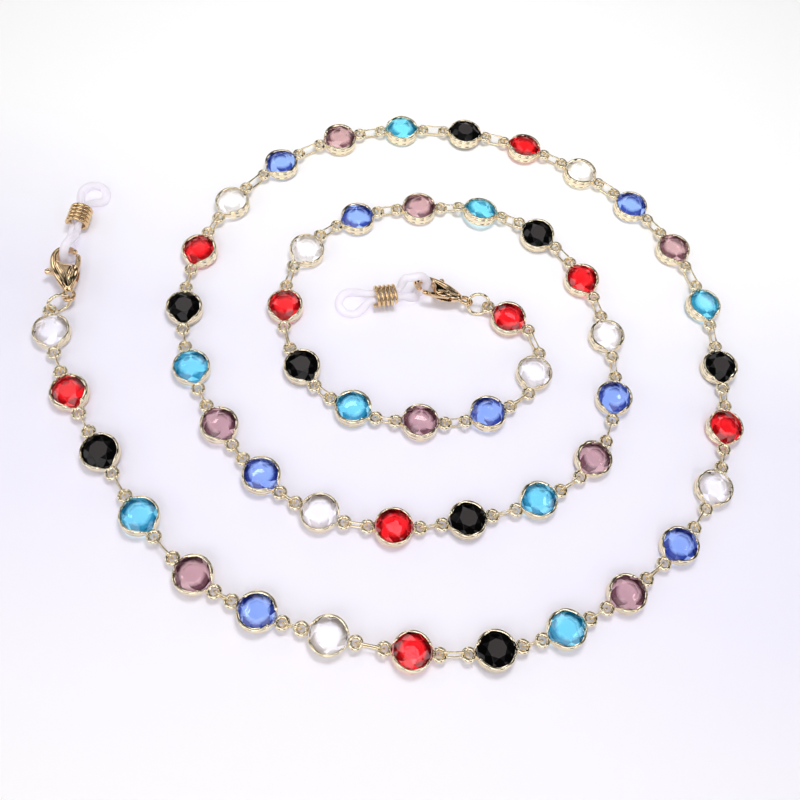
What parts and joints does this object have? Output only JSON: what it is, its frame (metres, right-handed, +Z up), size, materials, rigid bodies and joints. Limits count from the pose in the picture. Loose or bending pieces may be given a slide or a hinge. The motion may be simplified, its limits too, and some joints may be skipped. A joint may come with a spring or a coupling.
{
  "type": "eyeglasses chain strap",
  "caption": "Eyeglasses strap: a coiled chain of channel-set faceted crystals on wire links, with a lobster clasp, a silicone temple loop and a sliding coil at each end.",
  "frame": {"origin": "centre of the coiled strap's bounding box in plan, on the ground plane that the crystals lie on", "axes": "+Z up from the ground plane; +X along the longest side of the coil, from the outer end's side to the far side; +Y towards the top of the coil"},
  "size_m": [0.139, 0.1192, 0.0061],
  "materials": {
    "crystal_clear": "faceted cut glass in a polished pale gold channel with wire eyes",
    "crystal_red": "faceted cut glass in a polished pale gold channel with wire eyes",
    "crystal_black": "faceted cut glass in a polished pale gold channel with wire eyes",
    "crystal_aqua": "faceted cut glass in a polished pale gold channel with wire eyes",
    "crystal_amethyst": "faceted cut glass in a polished pale gold channel with wire eyes",
    "crystal_blue": "faceted cut glass in a polished pale gold channel with wire eyes",
    "pale_gold_wire": "bright pale gold plate",
    "clasp_gold": "bright gold plate, slightly worn",
    "coil_gold": "bright gold plate",
    "silicone": "milky translucent, satin"
  },
  "bodies": {
    "crystal_01": {"crystal_01_clear": "crystal_clear"},
    "crystal_02": {"crystal_02_red": "crystal_red"},
    "crystal_03": {"crystal_03_black": "crystal_black"},
    "crystal_04": {"crystal_04_aqua": "crystal_aqua"},
    "crystal_05": {"crystal_05_amethyst": "crystal_amethyst"},
    "crystal_06": {"crystal_06_blue": "crystal_blue"},
    "crystal_07": {"crystal_07_clear": "crystal_clear"},
    "crystal_08": {"crystal_08_red": "crystal_red"},
    "crystal_09": {"crystal_09_black": "crystal_black"},
    "crystal_10": {"crystal_10_aqua": "crystal_aqua"},
    "crystal_11": {"crystal_11_amethyst": "crystal_amethyst"},
    "crystal_12": {"crystal_12_blue": "crystal_blue"},
    "crystal_13": {"crystal_13_clear": "crystal_clear"},
    "crystal_14": {"crystal_14_red": "crystal_red"},
    "crystal_15": {"crystal_15_black": "crystal_black"},
    "crystal_16": {"crystal_16_aqua": "crystal_aqua"},
    "crystal_17": {"crystal_17_amethyst": "crystal_amethyst"},
    "crystal_18": {"crystal_18_blue": "crystal_blue"},
    "crystal_19": {"crystal_19_clear": "crystal_clear"},
    "crystal_20": {"crystal_20_red": "crystal_red"},
    "crystal_21": {"crystal_21_black": "crystal_black"},
    "crystal_22": {"crystal_22_aqua": "crystal_aqua"},
    "crystal_23": {"crystal_23_amethyst": "crystal_amethyst"},
    "crystal_24": {"crystal_24_blue": "crystal_blue"},
    "crystal_25": {"crystal_25_clear": "crystal_clear"},
    "crystal_26": {"crystal_26_red": "crystal_red"},
    "crystal_27": {"crystal_27_black": "crystal_black"},
    "crystal_28": {"crystal_28_aqua": "crystal_aqua"},
    "crystal_29": {"crystal_29_amethyst": "crystal_amethyst"},
    "crystal_30": {"crystal_30_blue": "crystal_blue"},
    "crystal_31": {"crystal_31_clear": "crystal_clear"},
    "crystal_32": {"crystal_32_red": "crystal_red"},
    "crystal_33": {"crystal_33_black": "crystal_black"},
    "crystal_34": {"crystal_34_aqua": "crystal_aqua"},
    "crystal_35": {"crystal_35_amethyst": "crystal_amethyst"},
    "crystal_36": {"crystal_36_blue": "crystal_blue"},
    "crystal_37": {"crystal_37_clear": "crystal_clear"},
    "crystal_38": {"crystal_38_red": "crystal_red"},
    "crystal_39": {"crystal_39_black": "crystal_black"},
    "crystal_40": {"crystal_40_aqua": "crystal_aqua"},
    "crystal_41": {"crystal_41_amethyst": "crystal_amethyst"},
    "crystal_42": {"crystal_42_blue": "crystal_blue"},
    "crystal_43": {"crystal_43_clear": "crystal_clear"},
    "crystal_44": {"crystal_44_red": "crystal_red"},
    "crystal_45": {"crystal_45_black": "crystal_black"},
    "crystal_46": {"crystal_46_aqua": "crystal_aqua"},
    "crystal_47": {"crystal_47_amethyst": "crystal_amethyst"},
    "crystal_48": {"crystal_48_blue": "crystal_blue"},
    "crystal_49": {"crystal_49_clear": "crystal_clear"},
    "crystal_50": {"crystal_50_red": "crystal_red"},
    "outer_jump_ring": {"outer_jump_ring": "pale_gold_wire"},
    "outer_clasp_body": {"outer_clasp_body": "clasp_gold"},
    "outer_clasp_lever": {"outer_clasp_lever": "clasp_gold"},
    "outer_silicone_loop": {"outer_silicone_loop": "silicone"},
    "outer_coil": {"outer_coil": "coil_gold"},
    "inner_jump_ring": {"inner_jump_ring": "pale_gold_wire"},
    "inner_clasp_body": {"inner_clasp_body": "clasp_gold"},
    "inner_clasp_lever": {"inner_clasp_lever": "clasp_gold"},
    "inner_silicone_loop": {"inner_silicone_loop": "silicone"},
    "inner_coil": {"inner_coil": "coil_gold"}
  },
  "joints": [
    {"name": "clasp_lever_inner", "type": "hinge", "parent": "inner_clasp_body", "child": "inner_clasp_lever", "pos_m": [0.00893, 0.013, 0.0029], "axis": [-0.1214, -0.4097, -0.9041], "range_deg": [0, 14], "stiffness_Nm_per_rad": 0.02, "springref_deg": -5.73},
    {"name": "clasp_lever_outer", "type": "hinge", "parent": "outer_clasp_body", "child": "outer_clasp_lever", "pos_m": [-0.06321, 0.00028, 0.00281], "axis": [0.0098, -0.0243, 0.9997], "range_deg": [0, 14], "stiffness_Nm_per_rad": 0.02, "springref_deg": -5.73},
    {"name": "clasp_swing_inner", "type": "hinge", "parent": "inner_jump_ring", "child": "inner_clasp_body", "pos_m": [0.01325, 0.01294, 0.00235], "axis": [0.104, 0.5755, 0.8112], "range_deg": [-12, 12]},
    {"name": "clasp_swing_outer", "type": "hinge", "parent": "outer_jump_ring", "child": "outer_clasp_body", "pos_m": [-0.06214, -0.00395, 0.0027], "axis": [-0.1713, -0.027, 0.9848], "range_deg": [-12, 12]},
    {"name": "coil_slide_inner", "type": "slide", "parent": "inner_silicone_loop", "child": "inner_coil", "axis": [-0.9413, -0.3362, -0.0291], "range_m": [-0.0005, 0.0005]},
    {"name": "coil_slide_outer", "type": "slide", "parent": "outer_silicone_loop", "child": "outer_coil", "axis": [-0.0454, 0.9988, -0.0182], "range_m": [-0.0005, 0.0005]},
    {"name": "loop_swing_inner", "type": "hinge", "parent": "inner_clasp_body", "child": "inner_silicone_loop", "pos_m": [0.00265, 0.01388, 0.00335], "axis": [0.0969, 0.9016, -0.4216], "range_deg": [-12, 12]},
    {"name": "loop_swing_outer", "type": "hinge", "parent": "outer_clasp_body", "child": "outer_silicone_loop", "pos_m": [-0.06558, 0.00616, 0.00298], "axis": [-0.9272, -0.3746, 0], "range_deg": [-12, 12]},
    {"name": "ring_swing_inner", "type": "hinge", "parent": "crystal_50", "child": "inner_jump_ring", "pos_m": [0.01654, 0.01341, 0.0015], "axis": [-0.3793, -0.9253, 0], "range_deg": [-12, 4]},
    {"name": "ring_swing_outer", "type": "hinge", "parent": "crystal_01", "child": "outer_jump_ring", "pos_m": [-0.06553, -0.00606, 0.0015], "axis": [0.9114, 0.4115, 0], "range_deg": [-12, 12]},
    {"name": "stone_hinge_01", "type": "hinge", "parent": "crystal_02", "child": "crystal_01", "pos_m": [-0.05936, -0.01821, 0.0015], "axis": [0.8182, 0.575, 0], "range_deg": [-50, 50]},
    {"name": "stone_hinge_02", "type": "hinge", "parent": "crystal_03", "child": "crystal_02", "pos_m": [-0.05063, -0.02864, 0.0015], "axis": [-0.7259, -0.6878, 0], "range_deg": [-50, 50]},
    {"name": "stone_hinge_03", "type": "hinge", "parent": "crystal_04", "child": "crystal_03", "pos_m": [-0.04073, -0.03892, 0.0015], "axis": [-0.7167, -0.6974, 0], "range_deg": [-50, 50]},
    {"name": "stone_hinge_04", "type": "hinge", "parent": "crystal_05", "child": "crystal_04", "pos_m": [-0.02971, -0.04808, 0.0015], "axis": [0.584, 0.8118, 0], "range_deg": [-50, 50]},
    {"name": "stone_hinge_05", "type": "hinge", "parent": "crystal_06", "child": "crystal_05", "pos_m": [-0.01827, -0.0535, 0.0015], "axis": [0.2905, 0.9569, 0], "range_deg": [-50, 50]},
    {"name": "stone_hinge_06", "type": "hinge", "parent": "crystal_07", "child": "crystal_06", "pos_m": [-0.00588, -0.05588, 0.0015], "axis": [-0.1033, -0.9946, 0], "range_deg": [-50, 50]},
    {"name": "stone_hinge_07", "type": "hinge", "parent": "crystal_08", "child": "crystal_07", "pos_m": [0.00828, -0.05656, 0.0015], "axis": [-0.0116, -0.9999, 0], "range_deg": [-50, 50]},
    {"name": "stone_hinge_08", "type": "hinge", "parent": "crystal_09", "child": "crystal_08", "pos_m": [0.02239, -0.05499, 0.0015], "axis": [-0.1925, 0.9813, 0], "range_deg": [-50, 50]},
    {"name": "stone_hinge_09", "type": "hinge", "parent": "crystal_10", "child": "crystal_09", "pos_m": [0.03454, -0.05051, 0.0015], "axis": [-0.4596, 0.8881, 0], "range_deg": [-50, 50]},
    {"name": "stone_hinge_10", "type": "hinge", "parent": "crystal_11", "child": "crystal_10", "pos_m": [0.0452, -0.04319, 0.0015], "axis": [0.6436, -0.7654, 0], "range_deg": [-50, 50]},
    {"name": "stone_hinge_11", "type": "hinge", "parent": "crystal_12", "child": "crystal_11", "pos_m": [0.05493, -0.03332, 0.0015], "axis": [0.7567, -0.6538, 0], "range_deg": [-50, 50]},
    {"name": "stone_hinge_12", "type": "hinge", "parent": "crystal_13", "child": "crystal_12", "pos_m": [0.06247, -0.02163, 0.0015], "axis": [-0.8886, 0.4586, 0], "range_deg": [-50, 50]},
    {"name": "stone_hinge_13", "type": "hinge", "parent": "crystal_14", "child": "crystal_13", "pos_m": [0.06601, -0.00898, 0.0015], "axis": [-0.993, 0.1177, 0], "range_deg": [-50, 50]},
    {"name": "stone_hinge_14", "type": "hinge", "parent": "crystal_15", "child": "crystal_14", "pos_m": [0.06577, 0.00413, 0.0015], "axis": [0.9925, 0.1226, 0], "range_deg": [-50, 50]},
    {"name": "stone_hinge_15", "type": "hinge", "parent": "crystal_16", "child": "crystal_15", "pos_m": [0.06304, 0.01826, 0.0015], "axis": [0.9725, 0.2331, 0], "range_deg": [-50, 50]},
    {"name": "stone_hinge_16", "type": "hinge", "parent": "crystal_17", "child": "crystal_16", "pos_m": [0.05764, 0.03164, 0.0015], "axis": [-0.887, -0.4617, 0], "range_deg": [-50, 50]},
    {"name": "stone_hinge_17", "type": "hinge", "parent": "crystal_18", "child": "crystal_17", "pos_m": [0.04915, 0.04201, 0.0015], "axis": [-0.6697, -0.7426, 0], "range_deg": [-50, 50]},
    {"name": "stone_hinge_18", "type": "hinge", "parent": "crystal_19", "child": "crystal_18", "pos_m": [0.03804, 0.04949, 0.0015], "axis": [0.468, 0.8837, 0], "range_deg": [-50, 50]},
    {"name": "stone_hinge_19", "type": "hinge", "parent": "crystal_20", "child": "crystal_19", "pos_m": [0.02541, 0.05446, 0.0015], "axis": [0.2905, 0.9569, 0], "range_deg": [-50, 50]},
    {"name": "stone_hinge_20", "type": "hinge", "parent": "crystal_21", "child": "crystal_20", "pos_m": [0.012, 0.05649, 0.0015], "axis": [-0.0459, -0.9989, 0], "range_deg": [-50, 50]},
    {"name": "stone_hinge_21", "type": "hinge", "parent": "crystal_22", "child": "crystal_21", "pos_m": [-0.00203, 0.05532, 0.0015], "axis": [0.1702, -0.9854, 0], "range_deg": [-50, 50]},
    {"name": "stone_hinge_22", "type": "hinge", "parent": "crystal_23", "child": "crystal_22", "pos_m": [-0.01537, 0.05077, 0.0015], "axis": [-0.4213, 0.9069, 0], "range_deg": [-50, 50]},
    {"name": "stone_hinge_23", "type": "hinge", "parent": "crystal_24", "child": "crystal_23", "pos_m": [-0.02709, 0.04238, 0.0015], "axis": [-0.6763, 0.7367, 0], "range_deg": [-50, 50]},
    {"name": "stone_hinge_24", "type": "hinge", "parent": "crystal_25", "child": "crystal_24", "pos_m": [-0.03587, 0.03094, 0.0015], "axis": [0.8569, -0.5155, 0], "range_deg": [-50, 50]},
    {"name": "stone_hinge_25", "type": "hinge", "parent": "crystal_26", "child": "crystal_25", "pos_m": [-0.04075, 0.01834, 0.0015], "axis": [0.9702, -0.2424, 0], "range_deg": [-50, 50]},
    {"name": "stone_hinge_26", "type": "hinge", "parent": "crystal_26", "child": "crystal_27", "pos_m": [-0.04175, 0.00483, 0.0015], "axis": [-0.9988, -0.0492, 0], "range_deg": [-50, 50]},
    {"name": "stone_hinge_27", "type": "hinge", "parent": "crystal_27", "child": "crystal_28", "pos_m": [-0.03858, -0.00797, 0.0015], "axis": [-0.9251, -0.3798, 0], "range_deg": [-50, 50]},
    {"name": "stone_hinge_28", "type": "hinge", "parent": "crystal_28", "child": "crystal_29", "pos_m": [-0.03162, -0.01913, 0.0015], "axis": [0.7746, 0.6324, 0], "range_deg": [-50, 50]},
    {"name": "stone_hinge_29", "type": "hinge", "parent": "crystal_29", "child": "crystal_30", "pos_m": [-0.02266, -0.02803, 0.0015], "axis": [0.6412, 0.7674, 0], "range_deg": [-50, 50]},
    {"name": "stone_hinge_30", "type": "hinge", "parent": "crystal_30", "child": "crystal_31", "pos_m": [-0.01172, -0.03447, 0.0015], "axis": [-0.3894, -0.9211, 0], "range_deg": [-50, 50]},
    {"name": "stone_hinge_31", "type": "hinge", "parent": "crystal_31", "child": "crystal_32", "pos_m": [0.00148, -0.03655, 0.0015], "axis": [0.024, -0.9997, 0], "range_deg": [-50, 50]},
    {"name": "stone_hinge_32", "type": "hinge", "parent": "crystal_32", "child": "crystal_33", "pos_m": [0.01452, -0.03386, 0.0015], "axis": [-0.331, 0.9436, 0], "range_deg": [-50, 50]},
    {"name": "stone_hinge_33", "type": "hinge", "parent": "crystal_33", "child": "crystal_34", "pos_m": [0.02726, -0.02852, 0.0015], "axis": [-0.4238, 0.9058, 0], "range_deg": [-50, 50]},
    {"name": "stone_hinge_34", "type": "hinge", "parent": "crystal_34", "child": "crystal_35", "pos_m": [0.03842, -0.02012, 0.0015], "axis": [0.7091, -0.7051, 0], "range_deg": [-50, 50]},
    {"name": "stone_hinge_35", "type": "hinge", "parent": "crystal_35", "child": "crystal_36", "pos_m": [0.04413, -0.00749, 0.0015], "axis": [0.9838, -0.1793, 0], "range_deg": [-50, 50]},
    {"name": "stone_hinge_36", "type": "hinge", "parent": "crystal_36", "child": "crystal_37", "pos_m": [0.04351, 0.00631, 0.0015], "axis": [-0.9796, -0.2007, 0], "range_deg": [-50, 50]},
    {"name": "stone_hinge_37", "type": "hinge", "parent": "crystal_37", "child": "crystal_38", "pos_m": [0.03886, 0.0192, 0.0015], "axis": [-0.9015, -0.4327, 0], "range_deg": [-50, 50]},
    {"name": "stone_hinge_38", "type": "hinge", "parent": "crystal_38", "child": "crystal_39", "pos_m": [0.03023, 0.02992, 0.0015], "axis": [0.6679, 0.7443, 0], "range_deg": [-50, 50]},
    {"name": "stone_hinge_39", "type": "hinge", "parent": "crystal_39", "child": "crystal_40", "pos_m": [0.01834, 0.0355, 0.0015], "axis": [0.2158, 0.9764, 0], "range_deg": [-50, 50]},
    {"name": "stone_hinge_40", "type": "hinge", "parent": "crystal_40", "child": "crystal_41", "pos_m": [0.00529, 0.03529, 0.0015], "axis": [0.1936, -0.9811, 0], "range_deg": [-50, 50]},
    {"name": "stone_hinge_41", "type": "hinge", "parent": "crystal_41", "child": "crystal_42", "pos_m": [-0.00753, 0.03121, 0.0015], "axis": [0.3816, -0.9243, 0], "range_deg": [-50, 50]},
    {"name": "stone_hinge_42", "type": "hinge", "parent": "crystal_42", "child": "crystal_43", "pos_m": [-0.01824, 0.02284, 0.0015], "axis": [-0.756, 0.6546, 0], "range_deg": [-50, 50]},
    {"name": "stone_hinge_43", "type": "hinge", "parent": "crystal_43", "child": "crystal_44", "pos_m": [-0.0227, 0.00965, 0.0015], "axis": [-0.9979, 0.0654, 0], "range_deg": [-50, 50]},
    {"name": "stone_hinge_44", "type": "hinge", "parent": "crystal_44", "child": "crystal_45", "pos_m": [-0.01935, -0.00393, 0.0015], "axis": [0.9001, 0.4356, 0], "range_deg": [-50, 50]},
    {"name": "stone_hinge_45", "type": "hinge", "parent": "crystal_45", "child": "crystal_46", "pos_m": [-0.00997, -0.01302, 0.0015], "axis": [0.4836, 0.8753, 0], "range_deg": [-50, 50]},
    {"name": "stone_hinge_46", "type": "hinge", "parent": "crystal_46", "child": "crystal_47", "pos_m": [0.00268, -0.01558, 0.0015], "axis": [0.0371, -0.9993, 0], "range_deg": [-50, 50]},
    {"name": "stone_hinge_47", "type": "hinge", "parent": "crystal_47", "child": "crystal_48", "pos_m": [0.01566, -0.01309, 0.0015], "axis": [0.3003, -0.9538, 0], "range_deg": [-50, 50]},
    {"name": "stone_hinge_48", "type": "hinge", "parent": "crystal_48", "child": "crystal_49", "pos_m": [0.02707, -0.00514, 0.0015], "axis": [-0.7282, 0.6854, 0], "range_deg": [-50, 50]},
    {"name": "stone_hinge_49", "type": "hinge", "parent": "crystal_49", "child": "crystal_50", "pos_m": [0.02665, 0.00858, 0.0015], "axis": [-0.8619, -0.5071, 0], "range_deg": [-50, 50]}
  ]
}
